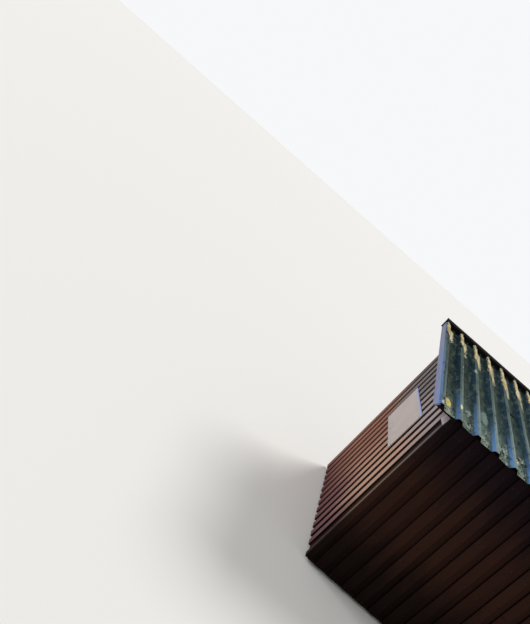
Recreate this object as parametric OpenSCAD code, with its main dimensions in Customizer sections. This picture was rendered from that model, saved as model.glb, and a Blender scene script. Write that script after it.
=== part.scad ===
// A small timber boathouse: a hut with one slope of roof, clad with upright boards in two
// layers and roofed with ribbed sheets that fall towards its back. X runs along the hut, Y
// from its back to its doors and Z up. The origin is on the ground, under the middle of the
// whole outline.

/* [Hut] */
// Length over the outer faces of the side walls
hut_length = 3830; // [3200:10:5000]
// Depth from the back to the front, over the outer faces of the walls
hut_depth = 1920; // [1700:10:2600]
// Height of the roof sheets' pans above the ground, over the back wall's outer face
back_height = 1970; // [1850:5:2200]
// Slope of the roof, rising towards the front, in degrees
roof_slope = 10; // [7:0.5:15]
// Gap under the wall boards, which keeps their ends dry
board_gap = 30; // [20:5:50]

/* [Roof overhangs] */
// How far the sheets reach past the back wall
eave_overhang = 30; // [20:5:120]
// How far the sheets reach past the front wall
front_overhang = 132; // [90:2:160]

/* [Ribbed sheets] */
// Distance from one rib to the next
rib_pitch = 206; // [180:1:220]
// Height of a rib
rib_height = 35; // [20:1:45]
// Width of a rib's flat top
rib_top = 36; // [25:1:60]
// Width that one sloping side of a rib takes
rib_side = 26; // [15:1:35]
// Thickness of a sheet
sheet_thickness = 2; // [1:0.5:4]
// Ribs that one sheet covers
sheet_ribs = 5; // [3:1:6]
// Number of sheets side by side
sheet_count = 4; // [3:1:5]

/* [Wall boards] */
// Thickness of one layer of wall boards
board_thickness = 22; // [18:1:25]
// Width of a side wall's outer boards
side_board = 82; // [70:1:100]
// Distance from one of them to the next
side_pitch = 150; // [140:0.1:165]
// Width of the side wall's first outer board, beside the back wall's corner strip
side_first_board = 48; // [40:1:90]
// Recess between that board and the next
side_first_recess = 117; // [80:1:125]
// Width of the board at the side wall's front corner
side_last_board = 92; // [80:1:110]
// Width of the outer boards of the back and front walls
straight_board = 100; // [90:1:110]
// Distance from one of them to the next, which is stretched a little to fit
straight_pitch = 166.7; // [150:0.1:180]
// Width of the strips that close the back wall's corners over the ends of the side walls
corner_strip = 60; // [50:1:90]
// Height of the packing blocks that bridge the first recess under the roof
corner_block_height = 80; // [50:1:120]

/* [Timber] */
// Side of the square posts and depth of sills, rails and plates
post_size = 70; // [60:5:95]
// Thickness of rails, plates and rafters
lath_thickness = 45; // [38:1:50]
// Depth of a rafter inside the hut
rafter_depth = 95; // [85:5:120]
// Depth of a rafter's tail, in front of the wall
tail_depth = 45; // [35:1:60]
// Width of a roof batten
batten_width = 73; // [60:1:98]
// Height of the barge boards
barge_height = 78; // [70:1:125]
// How far the slanted foot of a barge board runs back
barge_foot = 100; // [0:5:120]
// Height of the board across the roof's high edge
fascia_height = 125; // [110:5:150]
// How far that board stands up above the pans of the sheets
fascia_upstand = 64; // [50:1:80]

/* [Doors] */
// Width of the doorway, for both leaves
doorway_width = 1800; // [1400:10:2000]
// Height of the doorway's top above the ground
doorway_top = 1960; // [1800:10:2050]
// Play round each leaf
door_play = 5; // [3:1:8]

/* [Notice board] */
// Width of the notice board
notice_width = 850; // [600:10:1000]
// Height of the notice board
notice_height = 480; // [300:5:600]
// Thickness of the notice board
notice_thickness = 12; // [9:1:18]
// Distance from the back of the hut to the notice board
notice_from_back = 616; // [200:2:800]
// Height of its lower edge above the ground
notice_bottom = 1169; // [900:1:1200]

/* [Hidden] */
$fn = 32;

// Plan: faces of the walls and of the frame that stands against them
wall = 2*board_thickness;
fascia_thickness = board_thickness;
half_x = hut_length/2;
capping_skin = 2;
y_low = -(eave_overhang + hut_depth + front_overhang + fascia_thickness + capping_skin)/2;
y_back = y_low + eave_overhang;
y_front = y_back + hut_depth;
y_fascia = y_front + front_overhang;
in_x = half_x - wall;
in_back = y_back + wall;
in_front = y_front - wall;
clear_back = in_back + post_size;
clear_front = in_front - post_size;

// Heights along the roof: down is measured square to the slope, below the sheets' pans
function roof_z(y, down = 0) = back_height + (y - y_back)*tan(roof_slope) - down/cos(roof_slope);
batten_top = sheet_thickness;
batten_under = batten_top + lath_thickness;
rafter_under = batten_under + rafter_depth;
tail_under = batten_under + tail_depth;
seat = 25;
back_plate_top = roof_z(in_back, rafter_under) + seat;
front_plate_top = roof_z(clear_front, rafter_under) + seat;
front_wall_top = roof_z(in_front, tail_under);
sheet_play = 3;
back_wall_top = back_height - batten_top - sheet_play;

// Widths across the roof
verge_rib = sheet_count*sheet_ribs*rib_pitch/2;
barge_outer = verge_rib + 32;
barge_inner = barge_outer - board_thickness;
fascia_half = barge_outer + 12;

// The frame's parts between sill and plate
rafter_count = 4;
rail_heights = [620, 1250];
door_half = doorway_width/2;
door_stop = 20;
door_post_x = door_half - door_stop;

// A box given by its two far corners
module block(low, high) {
    translate(low) cube(high - low);
}

// A timber along X that lies in the roof's slope, from one side y to the other, between two
// depths below the pans
module sloped_timber(x1, x2, y1, y2, top, under) {
    square_up = (under - top)*[-sin(roof_slope), cos(roof_slope)];
    low_corner = [y1, roof_z(y1, under)];
    high_corner = [y2, roof_z(y2, under)];
    translate([x1, 0, 0])
        rotate([90, 0, 90])
            linear_extrude(x2 - x1)
                polygon([low_corner, high_corner, high_corner + square_up, low_corner + square_up]);
}

// Sills: the timbers that the hut stands on
module back_sill() {
    color("#5b4a3c") block([-in_x, in_back, 0], [in_x, clear_back, post_size]);
}

module front_sill() {
    color("#5b4a3c") block([-in_x, clear_front, 0], [in_x, in_front, post_size]);
}

module side_sill(side) {
    x1 = side > 0 ? in_x - post_size : -in_x;
    color("#5b4a3c") block([x1, clear_back, 0], [x1 + post_size, clear_front, post_size]);
}

// Frame: posts, plates and rails
module post(x, y, top) {
    translate([x - post_size/2, y - post_size/2, post_size])
        cube([post_size, post_size, top - lath_thickness - post_size]);
}

module corner_posts() {
    color("#a58a63")
        for (side = [-1, 1]) {
            post(side*(in_x - post_size/2), in_back + post_size/2, back_plate_top);
            post(side*(in_x - post_size/2), in_front - post_size/2, front_plate_top);
        }
}

module back_middle_post() {
    color("#a58a63") post(0, in_back + post_size/2, back_plate_top);
}

module door_posts() {
    color("#a58a63")
        for (side = [-1, 1])
            post(side*(door_post_x + post_size/2), in_front - post_size/2, front_plate_top);
}

module door_header() {
    header_bottom = doorway_top - door_stop;
    color("#a58a63")
        block([-door_post_x, clear_front, header_bottom], [door_post_x, in_front, header_bottom + rafter_depth]);
}

module plate(y, top) {
    block([-in_x, y, top - lath_thickness], [in_x, y + post_size, top]);
}

module back_top_plate() {
    color("#a58a63") plate(in_back, back_plate_top);
}

module front_top_plate() {
    color("#a58a63") plate(clear_front, front_plate_top);
}

// Rails between two posts, along X
module rails_along(x1, x2, y) {
    for (z = rail_heights)
        block([x1, y, z], [x2, y + post_size, z + lath_thickness]);
}

module back_rails() {
    color("#a58a63") {
        rails_along(post_size - in_x, -post_size/2, in_back);
        rails_along(post_size/2, in_x - post_size, in_back);
    }
}

module front_rails() {
    color("#a58a63") {
        rails_along(post_size - in_x, -door_post_x - post_size, clear_front);
        rails_along(door_post_x + post_size, in_x - post_size, clear_front);
    }
}

module side_rails(side) {
    x1 = side > 0 ? in_x - post_size : -in_x;
    color("#a58a63")
        for (z = rail_heights)
            block([x1, clear_back, z], [x1 + post_size, clear_front, z + lath_thickness]);
}

// Walls: the inner layer of upright boards is one sheet, and the outer boards stand on it.
// A straight wall runs along X. Its outer face is towards the back for out = -1, and its first
// and last outer boards stand in from its ends.
straight_recess = straight_pitch - straight_board;

module straight_wall(x1, x2, bottom, top, face, out, stand_in) {
    y_inner = out > 0 ? face - wall : face + board_thickness;
    y_outer = out > 0 ? face - board_thickness : face;
    first = x1 + stand_in;
    span = x2 - stand_in - straight_board - first;
    steps = round(span/straight_pitch);
    union() {
        block([x1, y_inner, bottom], [x2, y_inner + board_thickness, top]);
        for (i = [0:steps])
            translate([first + i*span/steps, y_outer, bottom])
                cube([straight_board, board_thickness, top - bottom]);
    }
}

// The strips at its corners stop under the packing blocks
module back_wall() {
    under_sheets = roof_z(y_back, batten_under);
    y_inner = y_back + board_thickness;
    color("#6d3a34")
        union() {
            straight_wall(-in_x, in_x, board_gap, back_wall_top, y_back, -1, straight_recess);
            for (side = [-1, 1])
                mirror([side > 0 ? 1 : 0, 0, 0]) {
                    x_inner = corner_strip - half_x;
                    block([-half_x, y_back, board_gap], [x_inner, y_inner, corner_block_bottom]);
                    block([board_thickness - half_x, y_back, board_gap], [x_inner, y_inner, under_sheets]);
                }
        }
}

module front_wall_side(side) {
    x1 = side > 0 ? door_half : -in_x;
    x2 = side > 0 ? in_x : -door_half;
    color("#8a4b43") straight_wall(x1, x2, board_gap, front_wall_top, y_front, 1, 0);
}

module front_wall_over_doors() {
    color("#8a4b43")
        straight_wall(-door_half, door_half, doorway_top, front_wall_top, y_front, 1, straight_recess);
}

// Outer boards of a side wall that reach the roof, as the distance of each from the back corner
// and its width. As many even ones as fit stand between the first board and the front corner's
// board. The first board is shorter: it ends under a packing block.
even_start = board_thickness + side_first_board + side_first_recess;
even_count = floor((hut_depth - side_last_board - side_board - even_start)/side_pitch) + 1;
side_outer_boards = concat(
    [for (i = [0:even_count - 1]) [even_start + i*side_pitch, side_board]],
    [[hut_depth - side_last_board, side_last_board]]
);
corner_block_bottom = roof_z(y_back, batten_under) - corner_block_height;

// All that lies between two sides y and under the roof's slope, from a height up
module under_roof(y1, y2, bottom, thickness) {
    top1 = roof_z(y1, batten_under);
    top2 = roof_z(y2, batten_under);
    linear_extrude(thickness) polygon([[y1, bottom], [y2, bottom], [y2, top2], [y1, top1]]);
}

// An upright board or layer of a side wall, drawn longer than the roof's slope leaves it
module side_upright(from, width, depth, height = roof_z(y_fascia)) {
    translate([y_back + from, board_gap, depth]) cube([width, height - board_gap, board_thickness]);
}

module side_wall(side) {
    color("#8a4b43")
        mirror([side > 0 ? 1 : 0, 0, 0])
            translate([-half_x, 0, 0])
                rotate([90, 0, 90])
                    intersection() {
                        under_roof(y_low, y_fascia, 0, wall);
                        union() {
                            side_upright(board_thickness, hut_depth - board_thickness, board_thickness);
                            side_upright(board_thickness, side_first_board, 0, corner_block_bottom);
                            for (board = side_outer_boards)
                                side_upright(board[0], board[1], 0);
                        }
                    }
}

// Doors: one layer of boards on three ledges and a brace
door_bottom = board_gap + door_play;
door_top = doorway_top - door_play;
ledge_width = 98;
ledge_thickness = board_thickness;
ledge_heights = [door_bottom + 150, (door_bottom + door_top - ledge_width)/2, door_top - 150 - ledge_width];

module door(side) {
    x1 = side > 0 ? door_play/2 : door_play - door_half;
    x2 = side > 0 ? door_half - door_play : -door_play/2;
    color("#8a4b43") block([x1, y_front - board_thickness, door_bottom], [x2, y_front, door_top]);
}

module door_ledges(side) {
    inset = 30;
    joint_gap = 0.5;
    leaf = door_half - door_play;
    y1 = y_front - board_thickness - ledge_thickness;
    color("#8c7350")
        mirror([side > 0 ? 0 : 1, 0, 0])
            union() {
                for (z = ledge_heights)
                    block([inset, y1, z], [leaf - inset, y1 + ledge_thickness, z + ledge_width]);
                translate([0, y1 + ledge_thickness, 0])
                    rotate([90, 0, 0])
                        linear_extrude(ledge_thickness)
                            for (i = [0, 1])
                                polygon([
                                    [leaf - inset - ledge_width, ledge_heights[i] + ledge_width + joint_gap],
                                    [leaf - inset, ledge_heights[i] + ledge_width + joint_gap],
                                    [inset + ledge_width, ledge_heights[i + 1] - joint_gap],
                                    [inset, ledge_heights[i + 1] - joint_gap]
                                ]);
            }
}

// Strap hinges across the face of the leaf and the wall beside it. The strap narrows to a
// round end, and the plate on the wall carries the knuckles above and below the strap's own.
strap_length = 430;
strap_root = 42;
strap_end = 24;
plate_width = 36;
plate_height = 110;
iron = 5;
knuckle = 16;
knuckle_play = 0.5;

module flat_iron(outline) {
    translate([0, iron, 0]) rotate([90, 0, 0]) linear_extrude(iron) polygon(outline);
}

module strap() {
    reach = strap_length - strap_end/2;
    flat_iron([
        [-reach, -strap_end/2], [-knuckle/2, -strap_root/2],
        [-knuckle/2, strap_root/2], [-reach, strap_end/2]
    ]);
    translate([-reach, iron, 0]) rotate([90, 0, 0]) cylinder(d = strap_end, h = iron);
    translate([-knuckle/2, 0, -strap_root/2]) cube([knuckle/2, iron, strap_root]);
    translate([0, knuckle/2, -strap_root/2]) cylinder(d = knuckle, h = strap_root);
}

module wall_plate() {
    translate([knuckle/2, 0, -plate_height/2]) cube([plate_width, iron, plate_height]);
    knuckle_height = plate_height/2 - strap_root/2 - knuckle_play;
    for (z = [-plate_height/2, strap_root/2 + knuckle_play])
        translate([0, 0, z]) {
            translate([0, knuckle/2, 0]) cylinder(d = knuckle, h = knuckle_height);
            cube([knuckle, iron, knuckle_height]);
        }
    translate([0, knuckle/2, -plate_height/2]) cylinder(d = knuckle/2, h = plate_height);
}

module door_hinges(side) {
    color("#3d3d3f")
        mirror([side > 0 ? 0 : 1, 0, 0])
            for (z = [ledge_heights[0], ledge_heights[2]])
                translate([door_half, y_front, z + ledge_width/2])
                    union() {
                        strap();
                        wall_plate();
                    }
}

// Hasp that closes the left leaf over the right one
module door_hasp() {
    hasp_height = 1050;
    color("#3d3d3f")
        translate([0, y_front, hasp_height])
            difference() {
                union() {
                    translate([-45, 0, -20]) cube([40, 4, 40]);
                    translate([-45, 0, -14]) cube([115, 6, 28]);
                    translate([40, 0, -4]) cube([8, 26, 8]);
                }
                translate([44, 17, -5]) cylinder(d = 9, h = 10);
            }
}

// Roof frame: rafters with a seat cut over each plate, and battens across them
module rafter_outline() {
    polygon([
        [in_back, roof_z(in_back, batten_under)],
        [in_back, back_plate_top],
        [clear_back, back_plate_top],
        [clear_back, roof_z(clear_back, rafter_under)],
        [clear_front, roof_z(clear_front, rafter_under)],
        [clear_front, front_plate_top],
        [in_front, front_plate_top],
        [in_front, front_wall_top],
        [y_fascia, roof_z(y_fascia, tail_under)],
        [y_fascia, roof_z(y_fascia, batten_under)]
    ]);
}

module rafters() {
    step = (2*in_x - lath_thickness)/(rafter_count - 1);
    color("#a58a63")
        for (i = [0:rafter_count - 1])
            translate([-in_x + i*step, 0, 0])
                rotate([90, 0, 90])
                    linear_extrude(lath_thickness) rafter_outline();
}

batten_count = 4;
batten_first = in_back + 10;
batten_last = y_fascia - batten_width - 2;

module roof_battens() {
    step = (batten_last - batten_first)/(batten_count - 1);
    color("#a58a63")
        for (i = [0:batten_count - 1])
            sloped_timber(
                -barge_inner, barge_inner,
                batten_first + i*step, batten_first + i*step + batten_width,
                batten_top, batten_under
            );
}

// Ribbed sheets. The outline of a sheet's upper face runs over one rib after the other. The
// first rib of each sheet but the first lies on the last rib of the sheet beside it, raised
// by a little more than the sheet's thickness, and that last rib stops half way down its side.
// So do the outermost ribs, over the barge boards.
lap_lift = sheet_thickness + 0.3;
side_run = rib_side/rib_height;

function rib_points(x, lift, left, right) = [
    [x - rib_top/2 - left*side_run*(rib_height + lift), (1 - left)*(rib_height + lift)],
    [x - rib_top/2, rib_height + lift],
    [x + rib_top/2, rib_height + lift],
    [x + rib_top/2 + right*side_run*(rib_height + lift), (1 - right)*(rib_height + lift)]
];

function sheet_line(number) = [
    for (i = [0:sheet_ribs])
        each rib_points(
            -verge_rib + ((number - 1)*sheet_ribs + i)*rib_pitch,
            i == 0 && number > 1 ? lap_lift : 0,
            i > 0 ? 1 : number > 1 ? 0.85 : 0.5,
            i == sheet_ribs ? 0.5 : 1
        )
];

module roof_sheet(number) {
    line = sheet_line(number);
    last = len(line) - 1;
    y_high = y_fascia - sheet_play;
    slope_length = (y_high - y_low - rib_height*sin(roof_slope))/cos(roof_slope);
    color("#3f4a46")
        translate([0, y_high, roof_z(y_high)])
            rotate([90 + roof_slope, 0, 0])
                linear_extrude(slope_length)
                    polygon(concat(
                        line,
                        [for (i = [0:last]) [line[last - i][0], line[last - i][1] - sheet_thickness]]
                    ));
}

// Boards round the roof's edge
module barge_board(side) {
    top = sheet_thickness + 0.5 - rib_height/2;
    y_foot = y_low + barge_foot;
    x1 = side > 0 ? barge_inner : -barge_outer;
    color("#8d6a70")
        translate([x1, 0, 0])
            rotate([90, 0, 90])
                linear_extrude(board_thickness)
                    polygon([
                        [y_foot, roof_z(y_foot, top + barge_height)],
                        [y_fascia, roof_z(y_fascia, top + barge_height)],
                        [y_fascia, roof_z(y_fascia, top)],
                        [y_low, roof_z(y_low, top)]
                    ]);
}

module front_fascia() {
    top = roof_z(y_fascia) + fascia_upstand;
    color("#2b2624")
        block([-fascia_half, y_fascia, top - fascia_height], [fascia_half, y_fascia + fascia_thickness, top]);
}

// Folded capping over the fascia's top edge, with a short leg on each side of it
module fascia_capping() {
    top = roof_z(y_fascia) + fascia_upstand;
    leg = 22;
    half = fascia_half + capping_skin;
    color("#1d1d1f")
        difference() {
            block(
                [-half, y_fascia - capping_skin, top - leg],
                [half, y_fascia + fascia_thickness + capping_skin, top + capping_skin]
            );
            block([-fascia_half, y_fascia, top - 2*leg], [fascia_half, y_fascia + fascia_thickness, top]);
        }
}

// Packing blocks at the back corners: each bridges the first recess of a side wall, and rises
// beside the first batten to close the corner under the sheets
module corner_blocks() {
    color("#8d6a70")
        for (side = [-1, 1])
            mirror([side > 0 ? 1 : 0, 0, 0])
                translate([-half_x, 0, 0])
                    rotate([90, 0, 90])
                        union() {
                            under_roof(y_back, y_back + even_start, corner_block_bottom, board_thickness);
                            linear_extrude(wall)
                                polygon([
                                    [y_back, roof_z(y_back, batten_under)],
                                    [in_back, roof_z(in_back, batten_under)],
                                    [in_back, roof_z(in_back, batten_top)],
                                    [y_back, roof_z(y_back, batten_top)]
                                ]);
                        }
}

module notice_board() {
    color("#c9c3bf")
        translate([-half_x - notice_thickness, y_back + notice_from_back, notice_bottom])
            cube([notice_thickness, notice_width, notice_height]);
}

back_sill();
front_sill();
side_sill(-1);  // left_sill
side_sill(1);  // right_sill
corner_posts();
back_middle_post();
door_posts();
door_header();
back_top_plate();
front_top_plate();
back_rails();
side_rails(-1);  // left_rails
side_rails(1);  // right_rails
front_rails();
back_wall();
side_wall(-1);  // left_wall
side_wall(1);  // right_wall
front_wall_side(-1);  // front_wall_left
front_wall_side(1);  // front_wall_right
front_wall_over_doors();
door(-1);  // left_door
door(1);  // right_door
door_ledges(-1);  // left_door_ledges
door_ledges(1);  // right_door_ledges
door_hinges(-1);  // left_door_hinges
door_hinges(1);  // right_door_hinges
door_hasp();
rafters();
roof_battens();
roof_sheet(1);  // roof_sheet_1
roof_sheet(2);  // roof_sheet_2
roof_sheet(3);  // roof_sheet_3
roof_sheet(4);  // roof_sheet_4
barge_board(-1);  // left_barge_board
barge_board(1);  // right_barge_board
front_fascia();
fascia_capping();
corner_blocks();
notice_board();
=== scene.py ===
"""Looks of a small timber boathouse, made round its packed construction.

Metres throughout: X along the hut, Y from its back to its doors, Z up, the origin on the ground.
A new piece is made of skins. A skin is a stack of rings of points carried along a path, and it is
worked out for all its like solids at once, as arrays with the axes solid, ring, point and x-y-z.
The map "Map" runs round the section in U and along the path in V, both in metres.
"""

import math

import bpy
import numpy as np
from mathutils import Matrix, Vector


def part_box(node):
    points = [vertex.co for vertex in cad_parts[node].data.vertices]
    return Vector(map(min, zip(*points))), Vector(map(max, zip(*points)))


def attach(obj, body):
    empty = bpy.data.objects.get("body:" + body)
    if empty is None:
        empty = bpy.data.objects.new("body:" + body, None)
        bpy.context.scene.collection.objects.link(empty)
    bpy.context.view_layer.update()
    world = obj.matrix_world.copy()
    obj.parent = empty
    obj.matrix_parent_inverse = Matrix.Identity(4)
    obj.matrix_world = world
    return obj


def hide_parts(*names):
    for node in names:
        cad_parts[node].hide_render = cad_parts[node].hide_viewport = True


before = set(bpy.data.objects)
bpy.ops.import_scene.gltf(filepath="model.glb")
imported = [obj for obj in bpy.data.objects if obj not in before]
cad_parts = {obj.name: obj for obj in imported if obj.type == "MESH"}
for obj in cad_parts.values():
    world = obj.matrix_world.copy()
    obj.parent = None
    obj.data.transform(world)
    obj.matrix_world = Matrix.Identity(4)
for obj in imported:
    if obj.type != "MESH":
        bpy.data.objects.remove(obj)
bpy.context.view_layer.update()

# Sizes that the boxes of the frame's nodes don't tell by themselves
SLOPE = math.radians(10)
BOARD = 0.022
BATTEN_UNDER = 0.047
RAIL_HALF = 0.0225
SIDE_BOARD = 0.082
SIDE_PITCH = 0.150
FIRST_BOARD = 0.048
FIRST_RECESS = 0.117
LAST_BOARD = 0.092
STRAIGHT_BOARD = 0.100
STRAIGHT_PITCH = 0.1667
STAND_IN = STRAIGHT_PITCH - STRAIGHT_BOARD
END_BOARD = 0.079
CORNER_STRIP = 0.060
DOOR_BOARDS = 8
DOOR_GAP = 0.0008
HINGE_THICK = 0.005
EAVE_OVERHANG = 0.030
BARGE_HEIGHT = 0.078
BARGE_TOP = 0.015
BARGE_FOOT = 0.100
RIB_PITCH = 0.206
RIB_HEIGHT = 0.035
RIB_TOP = 0.036
RIB_SIDE = 0.026
SHEET_RIBS = 5
SHEET_COUNT = 4
LAP_LIFT = 0.0023
SHEET_SKIN = 0.0009
SHEET_FOLD = 0.004
LIP = 0.06
PLAY = 0.0003

# Where nails and screws go: heights over the ground, and distances from a top or an edge
SILL_NAIL = 0.052
TOP_NAIL = 0.12
NAIL_APART = 0.026
LEDGE_NAIL = 0.025
NOTICE_SCREW = 0.04
BATTEN_SCREW = 0.04
STRAP_MIDDLE = 0.055
STRAP_BOLTS = (0.11, 0.25, 0.39)
PLATE_BOLT = 0.018
PLATE_RISE = 0.036

# Share of a rib's pitch that the painted sunlight may spread to the left of the rib's middle
SUNLIT_CRUST_LEFT = 0.3

X, Y, Z = np.eye(3)
UP_SLOPE = math.cos(SLOPE)*Y + math.sin(SLOPE)*Z
OFF_SLOPE = math.cos(SLOPE)*Z - math.sin(SLOPE)*Y


def node_box(node):
    """Lowest and highest corner of a node of the frame, as arrays."""
    low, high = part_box(node)
    return np.array(low), np.array(high)


BACK_LOW, BACK_HIGH = node_box("back_wall")
LEFT_LOW, LEFT_HIGH = node_box("left_wall")
FASCIA_LOW, FASCIA_HIGH = node_box("front_fascia")
BLOCKS_LOW = node_box("corner_blocks")[0]
Y_BACK = BACK_LOW[1]
Y_FRONT = LEFT_HIGH[1]
Y_LOW = Y_BACK - EAVE_OVERHANG
Y_HIGH = node_box(f"roof_sheet_{SHEET_COUNT}")[1][1]
HUT_DEPTH = Y_FRONT - Y_BACK
FACE_X = -LEFT_LOW[0]
INSIDE_X = FACE_X - 2*BOARD
PAN_AT_BACK = BACK_HIGH[2] + 0.005
VERGE_RIB = SHEET_COUNT*SHEET_RIBS*RIB_PITCH/2
RIB_COUNT = SHEET_COUNT*SHEET_RIBS + 1
EVEN_START = BOARD + FIRST_BOARD + FIRST_RECESS
EVEN_COUNT = int((HUT_DEPTH - LAST_BOARD - SIDE_BOARD - EVEN_START)/SIDE_PITCH) + 1


def pan_height(y, down=0.0):
    """Height of the roof's pans at y, less a depth measured square to the slope."""
    return PAN_AT_BACK + (y - Y_BACK)*math.tan(SLOPE) - down/math.cos(SLOPE)


# Skins


def points_of(x, y, z):
    """Points from three coordinates, each an array or a single value."""
    return np.stack(np.broadcast_arrays(x, y, z), -1).astype(float)


def crossed(first, second):
    """Every pair of the values of two rows, as two flat arrays."""
    return [grid.ravel() for grid in np.meshgrid(first, second)]


def unit(vectors):
    """The same vectors with a length of one."""
    return vectors/np.linalg.norm(vectors, axis=-1, keepdims=True)


def swept(points, map_u, map_v, **marks):
    """A closed skin for each solid: point n of ring m joins its neighbours in the ring and the
    same point of the next ring, and the first and last rings are closed by flat ends.

    map_u and map_v have one place more round the ring than points, for the closing face.
    Each mark is a value for every point, on its own or spread from fewer axes.
    """
    solids, rings, around = points.shape[:3]

    def closed(here, there):
        """The quads between the rings, and the two ends."""
        sides = np.stack([here[:, :-1], there[:, :-1], there[:, 1:], here[:, 1:]], 3)
        return sides, np.stack([here[:, 0, ::-1], here[:, -1]], 1)

    index = np.arange(solids*rings*around).reshape(solids, rings, around)
    quads, ends = closed(index, np.roll(index, -1, 2))
    full = (solids, rings, around + 1)
    places = np.stack([np.broadcast_to(map_u, full), np.broadcast_to(map_v, full)], -1)
    quad_places, end_places = closed(places[:, :, :-1], places[:, :, 1:])
    return {
        "points": points.reshape(-1, 3),
        "faces": [quads.reshape(-1, 4), ends.reshape(-1, around)],
        "places": [quad_places.reshape(-1, 2), end_places.reshape(-1, 2)],
        "marks": {
            name: np.broadcast_to(value, (solids, rings, around)).reshape(-1)
            for name, value in marks.items()
        },
    }


def placed(name, data):
    """A new object in the scene."""
    made = bpy.data.objects.new(name, data)
    bpy.context.collection.objects.link(made)
    return made


def piece(name, skins, material, nodes=(), sharp=40):
    """Joins skins, which have the same marks, into one mesh object that rides on the hut and
    stands for some of its nodes."""
    points = np.concatenate([skin["points"] for skin in skins])
    starts = np.cumsum([0] + [len(skin["points"]) for skin in skins])
    faces = [part + start for skin, start in zip(skins, starts) for part in skin["faces"]]
    corners = np.concatenate([part.reshape(-1) for part in faces])
    sides = np.concatenate([np.full(len(part), part.shape[1]) for part in faces])
    places = np.concatenate([part for skin in skins for part in skin["places"]])
    mesh = bpy.data.meshes.new(name)
    mesh.vertices.add(len(points))
    mesh.vertices.foreach_set("co", points.astype(np.float32).reshape(-1))
    mesh.loops.add(len(corners))
    mesh.loops.foreach_set("vertex_index", corners.astype(np.int32))
    mesh.polygons.add(len(sides))
    mesh.polygons.foreach_set("loop_start", (np.cumsum(sides) - sides).astype(np.int32))
    mesh.update(calc_edges=True)
    chart = mesh.uv_layers.new(name="Map")
    chart.data.foreach_set("uv", places.astype(np.float32).reshape(-1))
    for mark in skins[0]["marks"]:
        values = np.concatenate([skin["marks"][mark] for skin in skins])
        layer = mesh.attributes.new(mark, "FLOAT", "POINT")
        layer.data.foreach_set("value", values.astype(np.float32))
    mesh.shade_smooth()
    mesh.set_sharp_from_angle(angle=math.radians(sharp))
    mesh.materials.append(material)
    made = placed(name, mesh)
    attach(made, "root")
    if nodes:
        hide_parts(*nodes)


def waves(draw, count, places, shortest, height):
    """Smooth wandering along each of several solids: four sine waves of random length, from
    shortest to eight times that, and of random phase, averaged and scaled to height."""
    length = shortest*2.0**draw.uniform(0, 3, (count, 4, 1))
    phase = draw.uniform(0, 2*math.pi, (count, 4, 1))
    turns = 2*math.pi*places[..., None, :]/length + phase
    return height*np.sin(turns).mean(1)


def eased_rectangle(width, thick, ease, reach):
    """Section of a board: a rectangle with its corners rounded by quarter circles, and a point
    on each flat at a short reach from every arc. Runs counter-clockwise from the lower right, and
    is worked out with complex numbers.

    Gives the points, 1 on the arcs, and 1 on the two narrow sides.
    """
    heading = np.array([-1j, 1, 1j, -1])[:, None]
    side = heading + 1j*heading
    centre = side.real*(width[:, None, None]/2 - ease) + 1j*(thick/2 + side.imag*(thick/2 - ease))
    arc = centre + ease*heading*np.exp(1j*np.radians([0, 30, 60, 90]))
    reach_in = np.array([reach, thick*0.3]*2)[:, None]
    reach_out = np.array([thick*0.3, reach]*2)[:, None]
    first = arc[..., :1] - reach_in*1j*heading
    last = arc[..., -1:] - reach_out*heading
    section = np.concatenate([first, arc, last], -1).reshape(len(width), -1)
    edge = np.tile([0, 1, 1, 1, 1, 0], 4)
    narrow = np.tile([0, 0, 0, 1, 1, 1, 1, 1, 1, 0, 0, 0], 2)
    return section.real, section.imag, edge, narrow


def boards(start, along, out, width, length, seed, thick=BOARD, ease=0.002, shear=(0.0, 0.0),
           wander=0.0012, shade=0.0, step=0.09):
    """Boards side by side, or one board: an eased rectangle carried from the start of each
    board's back face along its length.

    A point at (p, q) of the section and the fraction f of the way lies at start
    + across*(p + wander) + out*(q + wander + twist*p) + along*(low*p + f*(length + (high - low)*p)),
    where low and high are the slopes of the two ends, and across is out turned square to along.
    """
    draw = np.random.default_rng(seed)
    start = np.atleast_2d(start)
    count = len(start)
    width, length = (np.broadcast_to(size, count) for size in (width, length))
    across = np.cross(out, along)
    p, q, edge, narrow = eased_rectangle(width, thick, ease, 0.008)
    runs = max(2, int(round(length.max()/step)))
    chamfer = ease/length.max()
    f = np.concatenate([[0], np.linspace(chamfer, 1 - chamfer, runs), [1]])
    inset = np.zeros(len(f))
    inset[[0, -1]] = ease*0.7
    places = f*length[:, None]
    sway_p = waves(draw, count, places, 0.5, wander)
    sway_q = waves(draw, count, places, 0.6, wander*0.8)
    twist = draw.normal(0, 0.006, (count, 1))*(f - 0.5)
    ring_p = p[:, None]*(1 - inset[None, :, None]/(width[:, None, None]/2))
    ring_q = thick/2 + (q[:, None] - thick/2)*(1 - inset[None, :, None]/(thick/2))
    lengthwise = shear[0]*ring_p + f[None, :, None]*(
        length[:, None, None] + (shear[1] - shear[0])*ring_p
    )
    sideways = ring_p + sway_p[..., None]
    outwards = ring_q + sway_q[..., None] + twist[..., None]*ring_p
    points = (
        start[:, None, None]
        + sideways[..., None]*across
        + outwards[..., None]*out
        + lengthwise[..., None]*along
    )
    girth_steps = np.hypot(np.diff(p, axis=1, append=p[:, :1]), np.diff(q, axis=1, append=q[:, :1]))
    girth = np.concatenate([np.zeros((count, 1)), np.cumsum(girth_steps, 1)], 1)
    map_u = girth[:, None] + draw.uniform(0, 40, (count, 1, 1))
    map_v = places[..., None] + draw.uniform(0, 40, (count, 1, 1))
    tone = draw.uniform(0, 1, (count, 1, 1))
    shades = np.maximum(narrow, shade)
    return swept(points, map_u, map_v, edge=edge, shade=shades, tone=tone)


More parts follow.
